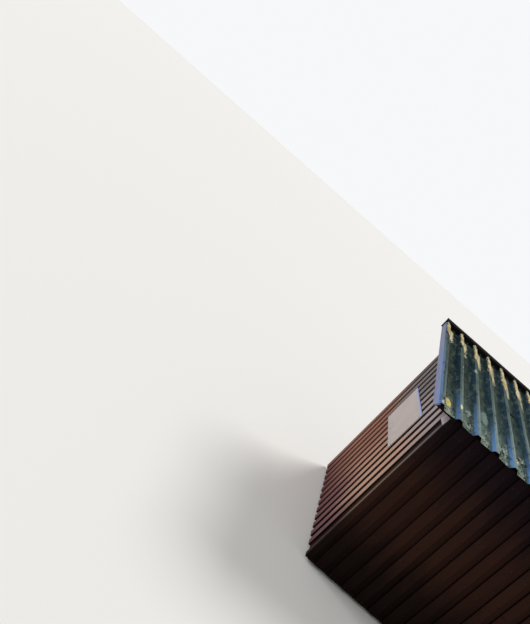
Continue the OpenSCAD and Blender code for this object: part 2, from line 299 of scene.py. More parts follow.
def studs(centres, out, outline, sides=10, seed=1, size=1.0):
    """Round studs: the outline of (radius, height) pairs, times the size of each stud, is carried
    round each centre, and the heights count along out."""
    draw = np.random.default_rng(seed)
    centres = np.asarray(centres, float)
    side_a = unit(np.cross(out, X if abs(out[0]) < 0.9 else Y))
    side_b = np.cross(out, side_a)
    radius, height = np.array(outline).T
    turn = np.arange(sides)*2*math.pi/sides + draw.uniform(0, 2*math.pi, (len(centres), 1))
    size = np.broadcast_to(size, len(centres))[:, None, None]
    round_a, round_b = (
        wave(turn)[:, None]*radius[None, :, None]*size for wave in (np.cos, np.sin)
    )
    points = (
        centres[:, None, None]
        + round_a[..., None]*side_a
        + round_b[..., None]*side_b
        + (height[:, None]*size)[..., None]*out
    )
    map_u = np.linspace(0, 2*math.pi*radius.max(), sides + 1)
    map_v = height[:, None] + draw.uniform(0, 40, (len(centres), 1, 1))
    return swept(points, map_u, map_v, tone=draw.uniform(0, 1, (len(centres), 1, 1)))


def eased_line(corners, ease, steps=4):
    """A line of straight stretches whose bends are rounded: from the point at the distance ease
    before a corner to the one after it runs a parabola that has the corner as control point."""
    corners = np.asarray(corners, float)
    bend = corners[1:-1]
    before, after = (bend + ease*unit(other - bend) for other in (corners[:-2], corners[2:]))
    t = np.linspace(0, 1, steps)[None, :, None]
    arcs = (1 - t)**2*before[:, None] + 2*t*(1 - t)*bend[:, None] + t**2*after[:, None]
    return np.concatenate([corners[:1], arcs.reshape(-1, 2), corners[-1:]])


def run_length(line):
    """Distance along a line of points, from its first to each one."""
    steps = np.linalg.norm(np.diff(line, axis=0), axis=1)
    return np.concatenate([[0], np.cumsum(steps)])


def filled(line, longest):
    """The same line with extra points on its straight stretches, at most longest apart."""
    own = run_length(line)
    places = np.union1d(np.round(own, 6), np.arange(0, own[-1], longest))
    return np.stack([np.interp(places, own, line[:, 0]), np.interp(places, own, line[:, 1])], -1)


def folded(line, skin):
    """Closed section of a folded sheet: the line set back square to itself by the sheet's
    thickness, and the line, its outer face, which runs from left to right. Gives the distances
    round the section as well."""
    heading = unit(np.gradient(line, axis=0))
    inner = line + skin*np.stack([heading[:, 1], -heading[:, 0]], -1)
    section = np.concatenate([inner, line[::-1]])
    return section, run_length(np.concatenate([section, section[:1]]))


# Node trees


def paint(code):
    """A colour written as six hexadecimal digits, as linear red, green, blue and 1."""
    shown = np.array([int(code[i:i + 2], 16) for i in (0, 2, 4)])/255
    linear = np.where(shown <= 0.04045, shown/12.92, ((shown + 0.055)/1.055)**2.4)
    return (*linear.tolist(), 1.0)


def operator(operation, turned=False):
    """A method that makes a Math node of a wire and another value."""
    def apply(wire, other):
        pair = (other, wire) if turned else (wire, other)
        return wire.net.math(operation, *pair)
    return apply


class Wire:
    """An output of a node, to calculate with. The scale of a noise may differ by direction."""

    def __init__(self, net, socket):
        self.net = net
        self.socket = socket

    __add__ = operator("ADD")
    __radd__ = operator("ADD", turned=True)
    __sub__ = operator("SUBTRACT")
    __rsub__ = operator("SUBTRACT", turned=True)
    __mul__ = operator("MULTIPLY")
    __truediv__ = operator("DIVIDE")

    def scaled(self, x, y, z=1.0):
        """The vector times a factor for each direction."""
        values = {0: self, 1: (x, y, z)}
        return self.net.wire("ShaderNodeVectorMath", values, operation="MULTIPLY")

    def split(self):
        """The three parts of the vector."""
        return list(self.net.wires("ShaderNodeSeparateXYZ", {0: self}).values())

    def noise(self, scale, detail=3.0, roughness=0.5):
        """Noise about 0.5, read at the vector times the scale."""
        values = {"Vector": self, "Scale": scale, "Detail": detail, "Roughness": roughness}
        if isinstance(scale, tuple):
            values.update({"Vector": self.scaled(*scale), "Scale": 1.0})
        return self.net.wire("ShaderNodeTexNoise", values)

    def step(self, low, high, start=0.0, end=1.0):
        """A smooth step from start at low to end at high, level outside them."""
        values = {"Value": self, "From Min": low, "From Max": high, "To Min": start, "To Max": end}
        return self.net.wire("ShaderNodeMapRange", values, interpolation_type="SMOOTHSTEP")


class Net:
    """Short calls for one node tree. An input that is given a wire is linked, any other is set.
    The colours that are mixed may be codes."""

    def __init__(self, tree):
        self.tree = tree

    def fill(self, node, values):
        """Gives a node's inputs their values."""
        for key, value in dict(values).items():
            if isinstance(value, Wire):
                self.tree.links.new(value.socket, node.inputs[key])
            else:
                node.inputs[key].default_value = value

    def add(self, kind, values=(), **settings):
        """A new node with its inputs and settings."""
        node = self.tree.nodes.new(kind)
        for key, value in settings.items():
            setattr(node, key, value)
        self.fill(node, values)
        return node

    def wire(self, kind, values=(), key=0, **settings):
        """One output of a new node."""
        return Wire(self, self.add(kind, values, **settings).outputs[key])

    def wires(self, kind, values=(), **settings):
        """All outputs of a new node, by name."""
        node = self.add(kind, values, **settings)
        return {socket.name: Wire(self, socket) for socket in node.outputs}

    def math(self, operation, *values, clamp=False):
        """A sum on single values, named as Blender names it."""
        return self.wire("ShaderNodeMath", enumerate(values), operation=operation, use_clamp=clamp)

    def joined(self, x, y):
        """The vector of two values and 0."""
        return self.wire("ShaderNodeCombineXYZ", {0: x, 1: y})

    def mix(self, factor, first, second):
        """The first colour where the factor is 0, and the second where it is 1."""
        first, second = (paint(tone) if isinstance(tone, str) else tone for tone in (first, second))
        return self.wire("ShaderNodeMix", {0: factor, 6: first, 7: second}, 2, data_type="RGBA")

    def mark(self, name):
        """A mark of the skins."""
        return self.wire("ShaderNodeAttribute", key="Fac", attribute_name=name)

    def chart(self):
        """The piece's own map."""
        return self.wire("ShaderNodeUVMap", uv_map="Map")

    def place(self):
        """The point itself, in metres."""
        return self.wire("ShaderNodeTexCoord", key="Object")

    def call(self, tree, **values):
        """The outputs of a node group."""
        return self.wires("ShaderNodeGroup", values, node_tree=tree)


class Effect(Net):
    """A node group. Its first input is a vector, its other inputs and its outputs are values."""

    def __init__(self, name, *inputs):
        super().__init__(bpy.data.node_groups.new(name, "ShaderNodeTree"))
        for key in inputs:
            self.socket(key, "INPUT", "Vector" if key == inputs[0] else "Float")
        self.given = self.wires("NodeGroupInput")

    def socket(self, name, side, kind):
        """Adds an input or an output to the group."""
        self.tree.interface.new_socket(name=name, in_out=side, socket_type="NodeSocket" + kind)

    def give(self, **outputs):
        """Adds the outputs, and gives the finished group."""
        for key in outputs:
            self.socket(key, "OUTPUT", "Float")
        self.add("NodeGroupOutput", outputs)
        return self.tree


def grain_effect():
    """Wood grain on a map that runs across in U and along the fibre in V, in metres: broad
    growth bands that bend round the knots, fine fibre, and the knots themselves."""
    net = Effect("wood grain", "Map")
    chart = net.given["Map"]
    cells = net.wires("ShaderNodeTexVoronoi", {"Vector": chart, "Scale": 5.0}, voronoi_dimensions="2D")
    chosen = cells["Color"].split()[0].step(0.66, 0.68)
    near = chosen*cells["Distance"].step(0.25, 0.0)
    u, v, _ = chart.split()
    drift = chart.noise((9, 1.1), 2.0)
    pushed = u + near*0.03 + drift*0.035
    return net.give(
        Bands=net.joined(pushed*130, v*1.6).noise(1.0, 4.0, 0.6),
        Fibre=chart.noise((900, 16), 2.0),
        Knots=chosen*cells["Distance"].step(0.055, 0.035),
    )


def wear_effect():
    """Paint worn off along the arrises: the edge mark, broken up by noise, past a threshold that
    falls as Amount rises."""
    net = Effect("edge wear", "Map", "Edge", "Amount")
    broken = net.given["Map"].noise((60, 14), 4.0, 0.65)
    worn = net.given["Edge"] + broken*1.6 - (2.4 - net.given["Amount"])
    return net.give(Mask=worn.step(0.0, 0.12))


def growth_effect():
    """Lichen or moss in small colonies: noise of two scales past a threshold that falls as Cover
    rises. Gives the mask, a shade that varies inside it, and a height."""
    net = Effect("growth", "Place", "Scale", "Cover")
    place, scale, cover, *_ = net.given.values()
    broad = place.noise(scale*0.16, 2.0)
    fine = place.noise(scale, 4.0, 0.6)
    mask = (broad*0.9 + fine*0.8 + cover - 1.35).step(0.0, 0.04)
    shade = place.noise(scale*2.6, 2.0)
    return net.give(Mask=mask, Shade=shade, Height=mask*(0.4 + shade))


GRAIN = grain_effect()
WEAR = wear_effect()
GROWTH = growth_effect()


class Coat(Net):
    """A material with a bare Principled shader, whose colour is built up layer by layer."""

    def __init__(self, name):
        self.material = bpy.data.materials.new(name)
        self.material.use_nodes = True
        super().__init__(self.material.node_tree)
        self.tree.nodes.clear()
        self.shader = self.add("ShaderNodeBsdfPrincipled")
        self.add("ShaderNodeOutputMaterial", {0: Wire(self, self.shader.outputs[0])})
        self.colour = None

    def lay(self, factor, tone):
        """Lays a tone over the colour so far."""
        self.colour = self.mix(factor, self.colour, tone)

    def light(self, value):
        """Lightens or darkens the colour so far."""
        self.colour = self.wire("ShaderNodeHueSaturation", {"Value": value, "Color": self.colour})

    def rubbed(self, amount):
        """Where paint is worn off along the arrises."""
        return self.call(WEAR, Map=self.chart(), Edge=self.mark("edge"), Amount=amount)["Mask"]

    def finish(self, roughness, relief, strength, distance, gloss=0.0):
        """Fills the shader and gives the material."""
        bump = {"Strength": strength, "Distance": distance, "Height": relief}
        self.fill(self.shader, {
            "Base Color": self.colour, "Roughness": roughness, "Specular IOR Level": gloss,
            "Normal": self.wire("ShaderNodeBump", bump),
        })
        return self.material


def board_paint(name, low, middle, high, recess, bare, foot, worn=0.3, contrast=1.0, far=()):
    """Wall paint on sawn boards, in three tones from the ground to the eaves that are painted light
    and shade: on the side walls a lighter middle stands for light thrown up from the ground and a
    grey top for painted sky reflection, and on the back wall the foot and the top are painted
    shade. Each board has its own tone, the grain shows through, narrow sides and recesses take the
    recess tone as painted shade, and arrises are worn.

    far gives the low, middle and high colours that the paint takes towards the doors, and the
    colours of the painted shade in the recesses past the first one, at the doors and, greyed by
    painted sky light, under the roof. With it the boards also darken at the back corner, as
    painted shade.
    """
    coat = Coat(name)
    chart = coat.chart()
    _, depth, height = coat.place().split()
    grain = coat.call(GRAIN, Map=chart)
    patches = chart.noise((6, 1.5), 4.0, 0.6)
    rise = level = height + (patches - 0.5)*0.8
    # With far, the recesses' painted shade is darkest in the first recess, lighter towards the doors,
    # and greyed by painted sky light under the roof.
    if far:
        toward_doors = depth.step(Y_BACK + 0.3, Y_FRONT - 0.3)
        recesses = coat.mix(toward_doors, far[3], far[4])
        recesses = coat.mix(height.step(1.4, 1.8, 0.0, 0.5), recesses, far[5])
        recess = coat.mix(depth.step(Y_BACK + 0.17, Y_BACK + 0.24), recess, recesses)
        pairs = zip((low, middle, high), far)
        low, middle, high = (coat.mix(toward_doors, tone, other) for tone, other in pairs)
        rise = level + toward_doors*0.25
        level = level + toward_doors*0.12
    # Tones by height: on the side walls painted bounce light in the middle and painted sky reflection
    # at the top; on the back wall painted shade at the foot and the top.
    coat.colour = coat.mix(rise.step(0.3, 0.9), low, middle)
    coat.lay(level.step(1.15, 1.85), high)
    value = 0.86 + coat.mark("tone")*(0.28*contrast) + (grain["Bands"] - 0.5)*(0.7*contrast)
    coat.light(value + (grain["Fibre"] - 0.5)*0.35)
    coat.lay(grain["Knots"]*0.55, recess)
    if far:
        # Painted shade in the back corner.
        coat.lay(depth.step(Y_BACK + 0.038, Y_BACK + 0.024, 0.0, 0.9), recess)
    # Narrow sides and the boards behind the recesses take the recess tone: painted shade.
    shade = coat.mark("shade")
    coat.lay(shade*0.94, recess)
    thin = (grain["Bands"] + patches*0.5).step(0.94, 1.04)
    bared = coat.math("MAXIMUM", coat.rubbed(worn), thin*0.5)*0.6*(1.0 - shade)
    coat.lay(bared, bare)
    coat.lay((height + patches*0.35).step(0.42, 0.14)*0.4, foot)
    relief = grain["Bands"]*0.7 + grain["Fibre"]*0.3 - bared*0.25
    return coat.finish(0.68 + bared*0.2, relief, 0.55, 0.0012, 0.02)


# Growths that stand out on the roof, and one painted highlight: distance along the hut and down
# the slope of each one's middle, its half width and half length, and its colour
GROWTHS_AND_HIGHLIGHT = (
    (-1.978, 1.910, 0.034, 0.085, "d8c474"),
    (-1.980, 1.905, 0.010, 0.016, "a18f3c"),
    (-2.050, 1.980, 0.012, 0.036, "15160f"),
    # A painted highlight on the end of the verge rib's crest, not a growth
    (-2.064, 2.060, 0.013, 0.036, "b9c1cf"),
    (-1.856, 1.865, 0.014, 0.055, "dcd8a8"),
    (-1.822, 0.955, 0.026, 0.034, "aeb8a4"),
    (-1.150, 0.990, 0.040, 0.034, "0b0e0a"),
    (-1.545, 1.600, 0.048, 0.140, "74887e"),
    (-1.745, 1.985, 0.016, 0.030, "0f120d"),
    (-1.345, 1.960, 0.020, 0.036, "10130e"),
    (-1.150, 1.830, 0.012, 0.030, "0f100e"),
    (-1.170, 1.880, 0.016, 0.045, "d8c8b4"),
    (-1.784, 0.500, 0.026, 0.050, "a9ad8e"),
    (-1.660, 0.765, 0.016, 0.060, "8fa097"),
    (-2.072, 0.575, 0.016, 0.030, "4f4216"),
    (-2.080, 0.350, 0.013, 0.050, "2b3140"),
    (-1.874, 0.420, 0.014, 0.045, "14171a"),
)


def sheet_coat():
    """Coated roof sheet, coloured by two distances: beside, from a rib's right foot across the
    pan to the next rib and over it, and down, along the slope. Much of the colour is painted
    light: pans run from dull green to dark towards the next rib as painted shade, left flanks are
    navy as painted shade and turn blue at the low end as painted sky reflection, the right part of
    each crest is a painted highlight, a painted shadow lies along the high edge, painted sunlight
    with a crust's relief lies over the high ends of the ribs, and the undersides are near-black as
    painted shade. Moss and pale spots thicken towards the low end."""
    coat = Coat("roof_sheet_coat")
    place = coat.place()
    along = place.split()[0]
    down = coat.mark("down")
    half_rib = RIB_TOP/2 + RIB_SIDE
    beside = coat.math("FRACT", along/RIB_PITCH - half_rib/RIB_PITCH)*RIB_PITCH
    pan_end = RIB_PITCH - 2*half_rib
    crest_start = pan_end + RIB_SIDE
    crest_end = crest_start + RIB_TOP
    broad = place.noise((5, 1.6, 1.6), 4.0, 0.6)
    runs = coat.chart().noise((90, 2.2), 4.0, 0.65)
    specks = place.noise(140.0, 3.0, 0.7)
    drift = down + (broad - 0.5)*0.5

    # Tones across a pan and its rib: the pan darkens towards the next rib and the left flank is
    # navy as painted shade, the crest's right part is a painted highlight, and each tone lightens and
    # turns bluer down the slope as painted sky reflection, the verge flank most
    near_rib = coat.mix(drift.step(1.45, 2.05), "454f47", "77867b")
    far_rib = coat.mix(drift.step(1.0, 2.1), "1c2b31", "3a4849")
    flank = coat.mix(drift.step(1.45, 2.15), "223341", "52749f")
    verge = coat.mix(drift.step(0.5, 1.4), "62727f", "6886b0")
    flank = coat.mix(along.step(0.02 - VERGE_RIB, -VERGE_RIB), flank, verge)
    crest = coat.mix(drift.step(1.5, 1.95), "52605b", "687b7f")
    lit_crest = coat.mix(drift.step(0.7, 2.0), "4c5753", "79888c")
    coat.colour = near_rib
    for low, high, tone in (
        (0.0, 0.105, far_rib),
        (pan_end - 0.001, pan_end + 0.012, flank),
        (crest_start - 0.005, crest_start + 0.001, crest),
        (crest_start + 0.010, crest_start + 0.024, lit_crest),
        (crest_end, crest_end + 0.003, near_rib),
    ):
        coat.lay(beside.step(low, high), tone)
    value = 0.58 + broad*0.40 + runs*0.34 + specks*0.12
    value = value*along.step(-0.12 - VERGE_RIB, 0.75 - VERGE_RIB, 0.70, 1.08)
    coat.light(value*drift.step(0.2, 0.9, 0.82, 1.0))
    blotches = place.noise((24, 9, 9), 5.0, 0.72)
    coat.lay(blotches.step(0.50, 0.66, 0.0, 0.45), "5d6a5b")
    coat.lay(blotches.step(0.47, 0.34, 0.0, 0.65), "161d1c")
    # A pale line along each crest's right arris, broken up by the runs: painted highlight.
    arris = coat.math("ABSOLUTE", beside - crest_end).step(0.006, 0.002)
    coat.lay(arris*runs.step(0.40, 0.58)*0.55, "8e9c95")
    # Painted shadow of the fascia and its capping along the high edge.
    coat.lay((down + runs*0.06).step(0.15, 0.07)*0.9, "08090b")

    # Painted sunlight on the high ends of the ribs, with a crust's relief and roughness: its blocky
    # edge is where the least of three margins passes zero
    stretched = {"Vector": place.scaled(34, 17, 17)}
    cells = coat.wires("ShaderNodeTexVoronoi", stretched, distance="CHEBYCHEV")
    jag_a, jag_b, jag_c = (part - 0.5 for part in cells["Color"].split())
    offset = (coat.math("FRACT", along/RIB_PITCH + SUNLIT_CRUST_LEFT) - SUNLIT_CRUST_LEFT)*RIB_PITCH
    reach = coat.mark("crust")
    left_limit = (down/reach).step(0.70, 1.0, -0.022, 0.010)
    right_limit = down.step(0.065, 0.14, 0.004, 0.090)
    margin = coat.math("MINIMUM", reach + jag_a*0.12 - down, right_limit + jag_b*0.024 - offset)
    margin = coat.math("MINIMUM", margin, offset - (left_limit + jag_c*0.020))
    margin = margin + (specks - 0.5)*0.006
    # A dark rim round the painted sunlight: painted shade along its edge.
    coat.lay(margin.step(-0.014, -0.001)*0.6, "161a17")
    holes = place.noise(46.0, 4.0, 0.65).step(0.28, 0.36)
    crust = margin.step(0.0, 0.004)*holes
    mottled = place.noise((26, 9, 9)).step(0.35, 0.65)
    # The part over the rib's right flank is paler: painted highlight.
    sunlit_right_flank = offset.step(0.05, 0.095, 0.0, 0.5)
    crust_tone = coat.mix(sunlit_right_flank, coat.mix(mottled, "a69260", "d5cba5"), "cfcab8")
    coat.lay(crust, coat.mix(down.step(0.20, 0.06, 0.0, 0.65), crust_tone, "b9b594"))

    # Moss, pale spots, and the listed growths with their one painted highlight
    moss = coat.call(GROWTH, Place=place, Scale=38.0, Cover=down.step(0.6, 2.2, 0.06, 0.40))
    mossy = moss["Mask"]*beside.step(crest_start, pan_end)
    coat.lay(mossy*0.85, coat.mix(moss["Shade"], "0f120c", "2f3520"))
    cover = down.step(1.0, 2.1, 0.05, 0.46)
    spots = coat.call(GROWTH, Place=place.scaled(1, 0.5), Scale=110.0, Cover=cover)
    in_pan = beside.step(pan_end + 0.002, pan_end - 0.010, 0.0, 0.6)
    coat.lay(spots["Mask"]*in_pan, coat.mix(spots["Shade"], "87978a", "c4c9b6"))
    clumps = (place.noise(55.0, 4.0, 0.65) - 0.5)*3.4
    for x, s, half_wide, half_long, tone in GROWTHS_AND_HIGHLIGHT:
        across = (along - x)/half_wide
        length = (down - s)/half_long
        ragged = 1.0 - (across*across + length*length) + clumps
        coat.lay(ragged.step(0.1, 0.4)*0.85, tone)
    # Near-black on the sheets' undersides and open rib ends: painted shade.
    coat.lay(coat.mark("under"), "14171a")
    rough = coat.math("ADD", 0.55 + broad*0.2, coat.math("MAXIMUM", crust, mossy)*0.3, clamp=True)
    relief = crust*place.noise(160.0) + moss["Height"] + specks*0.15
    return coat.finish(rough, relief, 0.6, 0.002)


def edge_paint(name, upper, lower, side, bare, worn, growth=0.5, far=None, crown=None, dark_corner=False):
    """Paint on a planed edge board: two tones in slow patches, grain under the paint, another
    tone on the narrow sides, worn arrises and a little pale growth. The narrow sides' tone is
    painted sky reflection on the barge boards and painted shade on the packing blocks.

    far is the tone towards the high edge of the roof, and crown the one just under the sheets.
    The last argument darkens the board near the back corner with the narrow sides' tone, along a
    slanted edge, less and less towards the top.
    """
    coat = Coat(name)
    chart = coat.chart()
    place = coat.place()
    _, depth, height = place.split()
    grain = coat.call(GRAIN, Map=chart)
    patches = chart.noise((14, 2.5), 4.0, 0.6)
    coat.colour = coat.mix(patches.step(0.3, 0.7), upper, lower)
    if crown:
        over_pans = height - PAN_AT_BACK - (depth - Y_BACK)*math.tan(SLOPE)
        coat.lay(over_pans.step(-0.022, 0.016, 0.0, 0.8), crown)
    if far:
        coat.lay(depth.step(-0.1, 0.8), far)
    coat.lay(coat.mark("shade"), side)
    if dark_corner:
        past = depth - Y_BACK - (BLOCKS_LOW[2] + 0.12 - height)*0.30
        coat.lay(past.step(0.003, -0.003), side)
    coat.light(0.8 + grain["Bands"]*0.4)
    coat.lay(coat.rubbed(worn)*0.6, bare)
    spots = coat.call(GROWTH, Place=place, Scale=60.0, Cover=0.16)
    coat.lay(spots["Mask"]*growth, "a7ab97")
    return coat.finish(0.6, grain["Bands"] + spots["Height"]*0.5, 0.35, 0.0008, 0.05)


def sawn_timber(name, axis, light, dark, damp=0.0, knot="4a2f1c"):
    """Bare sawn timber with its grain along one axis, on the place itself, with saw marks
    across it and greyer, damper wood near the ground."""
    coat = Coat(name + "_" + "xyz"[axis])
    parts = coat.place().split()
    height = parts[2]
    along = parts.pop(axis)
    chart = coat.joined(parts[0] + parts[1], along)
    grain = coat.call(GRAIN, Map=chart)
    saw = chart.noise((6, 260), 2.0)
    coat.colour = coat.mix(grain["Bands"], dark, light)
    coat.lay(grain["Knots"]*0.8, knot)
    coat.light(0.85 + saw*0.25)
    coat.lay(height.step(0.3, 0.0, 0.0, damp), "2c2620")
    return coat.finish(0.8, grain["Bands"] + saw*0.6, 0.5, 0.001)


def black_iron(name, tone="1d1d20", rusty=0.22):
    """Black painted iron with rust breaking through in specks."""
    coat = Coat(name)
    place = coat.place()
    rust = coat.call(GROWTH, Place=place, Scale=90.0, Cover=rusty)
    coat.colour = coat.mix(place.noise(40.0), tone, "303036")
    coat.lay(rust["Mask"], coat.mix(rust["Shade"], "4a2412", "8a4c26"))
    relief = rust["Height"] + place.noise(300.0)*0.3
    return coat.finish(0.45 + rust["Mask"]*0.4, relief, 0.4, 0.0006, 0.25)


def notice_coat(top):
    """Pale painted notice board: faded in slow clouds, with faint runs of dirt from its top, and
    a painted sky reflection in blue along its top edge."""
    coat = Coat("notice_coat")
    place = coat.place()
    runs = place.noise((60, 60, 2.2), 3.0, 0.6)
    coat.colour = coat.mix(place.noise(4.0, 4.0, 0.6), "978b88", "aca29e")
    coat.light(0.9 + runs*0.16)
    # Painted sky reflection along the top edge.
    upper = (place.split()[2] + runs*0.012).step(top - 0.016, top - 0.002)
    coat.lay(upper*0.85, "8096c8")
    coat.lay(coat.rubbed(0.35)*0.4, "77706c")
    return coat.finish(0.5, runs, 0.15, 0.0005, 0.1)


def cushion_moss():
    """Moss in small cushions: each cushion has its own tone between near-black and olive."""
    coat = Coat("moss")
    fine = coat.place().noise(420.0, 2.0)
    coat.colour = coat.mix(coat.mark("tone"), "12140d", "3c4226")
    coat.light(0.7 + fine*0.6)
    return coat.finish(0.95, fine, 0.7, 0.002)


# Walls

# The side walls: tones by height are painted bounce light and sky reflection, and the recess tones are
# painted shade, lighter towards the doors and greyed by painted sky light under the roof.
RED = board_paint(
    "side_boards_paint", "604447", "9d7d6c", "8c8081", "0b0706", "8f8378", "3a2626",
    far=("633e3d", "845a4d", "6a6667", "221a17", "6c5349", "4a474a"),
)
# The front wall and doors: the recess tone on the narrow sides and recesses is painted shade.
FRONT_RED = board_paint(
    "front_boards_paint", "633e3d", "845a4d", "795f58", "3c2722", "8f8378", "3a2626",
)
# The back wall: a darker copy of the side walls' red, partly paint that faded less and partly painted
# shade, darkest at the foot and under the eaves.
SHADED_BACK_RED = board_paint(
    "back_boards_shaded_paint", "1c1310", "35211a", "1c1317", "110a09", "3a302b", "120b09", 0.1, 0.7,
)

# Outlines of round heads, as radius and height
NAIL = [(0.0030, -0.0005), (0.0030, 0.0004), (0.0018, 0.0008)]
BOLT = [(0.0090, -0.0010), (0.0090, 0.0020), (0.0060, 0.0048), (0.0020, 0.0060)]
SCREW = [(0.0042, -0.0005), (0.0042, 0.0007), (0.0026, 0.0014)]
WIDE_SCREW = [(0.0045, -0.0005), (0.0045, 0.0008), (0.003, 0.0018)]
WASHER = [(0.0080, -0.0010), (0.0080, 0.0010), (0.0066, 0.0020), (0.0048, 0.0024)]
HEXAGON = [(0.0046, 0.0018), (0.0046, 0.0056), (0.0037, 0.0064)]
CUSHION = [(0.0100, -0.0010), (0.0095, 0.0020), (0.0068, 0.0046), (0.0030, 0.0060)]


def side_places():
    """Middles and widths of the upright outer boards of a side wall, measured from the hut's
    back: a narrow first board, even ones after a wider recess, and the board at the doors."""
    even = EVEN_START + SIDE_BOARD/2 + SIDE_PITCH*np.arange(EVEN_COUNT)
    middles = np.concatenate([[BOARD + FIRST_BOARD/2], even, [HUT_DEPTH - LAST_BOARD/2]])
    widths = np.concatenate([[FIRST_BOARD], np.full(EVEN_COUNT, SIDE_BOARD), [LAST_BOARD]])
    return middles, widths


def between(middles, widths, overlap=0.02):
    """Middles and widths of the boards behind the recesses, which reach under the boards on
    either side."""
    low = middles[:-1] + widths[:-1]/2 - overlap
    high = middles[1:] - widths[1:]/2 + overlap
    return (low + high)/2, high - low


def spans(pairs):
    """Middles and widths of boards that are given by their two edges."""
    low, high = np.array(pairs).T
    return (low + high)/2, high - low


def side_wall(node, side, seed):
    """One gable wall: outer boards over inner boards, cut to the roof's slope at the top. The
    first outer board ends square, under the packing block, and it and the last one are darkened
    with the recess tone, on the first one as painted shade in the back corner."""
    foot = node_box(node)[0][2]
    out = side*X
    toward = np.cross(out, Z)[1]
    middles, widths = side_places()
    inner = between(middles, widths)
    fill = spans([
        (BOARD, inner[0][0] - inner[1][0]/2 - PLAY),
        (inner[0][-1] + inner[1][-1]/2 + PLAY, HUT_DEPTH),
    ])
    last_dark = np.append(np.zeros(len(middles) - 2), 0.9)[:, None, None]
    layers = (
        (*(np.append(a, b) for a, b in zip(inner, fill)), 1.0),
        (middles[1:], widths[1:], last_dark),
    )
    skins = []
    for layer, (places, wide, shade) in enumerate(layers):
        y = Y_BACK + places
        low = np.random.default_rng(seed + layer).uniform(0, 0.004, len(y)) + foot
        skins.append(boards(
            points_of(side*(FACE_X - BOARD*(2 - layer)), y, low), Z, out, wide,
            pan_height(y, BATTEN_UNDER) - low, seed + 10 + layer,
            shear=(0.0, toward*math.tan(SLOPE)), shade=shade,
        ))
    # The first board's darkening is painted shade in the back corner.
    start = (side*(FACE_X - BOARD), Y_BACK + middles[0], foot)
    skins.append(boards(start, Z, out, widths[0], BLOCKS_LOW[2] - foot, seed + 20, shade=0.68))
    piece(node + "_boards", skins, RED, [node])


def spread(low, high):
    """Middles of straight boards between two ends, the first and last flush with them, as near
    to their pitch as fits."""
    count = int(round((high - low - STRAIGHT_BOARD)/STRAIGHT_PITCH)) + 1
    return np.linspace(low + STRAIGHT_BOARD/2, high - STRAIGHT_BOARD/2, count)


def straight_boards(low, high, foot, top, out, face, stand_in, seed, shade):
    """Two layers of upright boards along X between two ends. The first and last outer boards
    stand in from the ends, and the inner ones lie behind the recesses."""
    skins = []
    middles = spread(low + stand_in, high - stand_in)
    widths = np.full(len(middles), STRAIGHT_BOARD)
    edge = spans([(low, low + END_BOARD), (high - END_BOARD, high)])
    inner = (np.append(a, b) for a, b in zip(between(middles, widths), edge))
    layers = ((*inner, shade), (middles, widths, 0.0))
    for layer, (places, wide, dark) in enumerate(layers):
        start = points_of(places, face - out[1]*BOARD*(2 - layer), foot)
        skins.append(boards(start, Z, out, wide, top - foot, seed + layer, shade=dark))
    return skins


def back_wall():
    """The back wall, with a strip at each corner that ends under the packing block and a short
    narrower piece beside the block."""
    foot, top = BACK_LOW[2], BACK_HIGH[2]
    skins = straight_boards(-INSIDE_X, INSIDE_X, foot, top, -Y, Y_BACK, STAND_IN, 300, 0.1)
    middle = BLOCKS_LOW[2]
    under_sheets = pan_height(Y_BACK, BATTEN_UNDER)
    strip_end = FACE_X - CORNER_STRIP
    for side in (-1, 1):
        for x, low, high in ((FACE_X, foot, middle), (FACE_X - BOARD, middle, under_sheets)):
            start = (side*(x + strip_end)/2, Y_BACK + BOARD, low)
            skins.append(boards(start, Z, -Y, x - strip_end, high - low, 340 + side, wander=0.0004))
    piece("back_wall_boards", skins, SHADED_BACK_RED, ["back_wall"])


def make_walls():
    """All four walls. The front wall has a part on either side of the doors and one over them."""
    side_wall("left_wall", -1, 100)
    side_wall("right_wall", 1, 200)
    back_wall()
    for name, stand_in in (
        ("front_wall_left", 0.0), ("front_wall_right", 0.0), ("front_wall_over_doors", STAND_IN),
    ):
        low, high = node_box(name)
        seed = 400 + int(100*high[0])
        skins = straight_boards(low[0], high[0], low[2], high[2], Y, Y_FRONT, stand_in, seed, 0.8)
        piece(name + "_boards", skins, FRONT_RED, [name])


def make_nails():
    """Two nails through each outer board at the sill, at both rails and near its top."""
    rails = node_box("left_rails")
    rows = np.array([SILL_NAIL, rails[0][2] + RAIL_HALF, rails[1][2] - RAIL_HALF])
    middles, widths = side_places()
    pairs = Y_BACK + np.concatenate([middles - widths/4, middles + widths/4])
    y, z = crossed(pairs, rows)
    y = np.append(y, pairs)
    z = np.append(z, pan_height(pairs, BATTEN_UNDER) - TOP_NAIL)
    skins = [studs(points_of(side*FACE_X, y, z), side*X, NAIL, 6, 70 + side) for side in (-1, 1)]
    x = spread(STAND_IN - INSIDE_X, INSIDE_X - STAND_IN)
    pairs = np.concatenate([x - NAIL_APART, x + NAIL_APART])
    x, z = crossed(pairs, np.append(rows, BACK_HIGH[2] - TOP_NAIL))
    skins.append(studs(points_of(x, Y_BACK, z), -Y, NAIL, 6, 75))
    piece("wall_nails", skins, black_iron("nail_steel", "2a211f", 0.45))


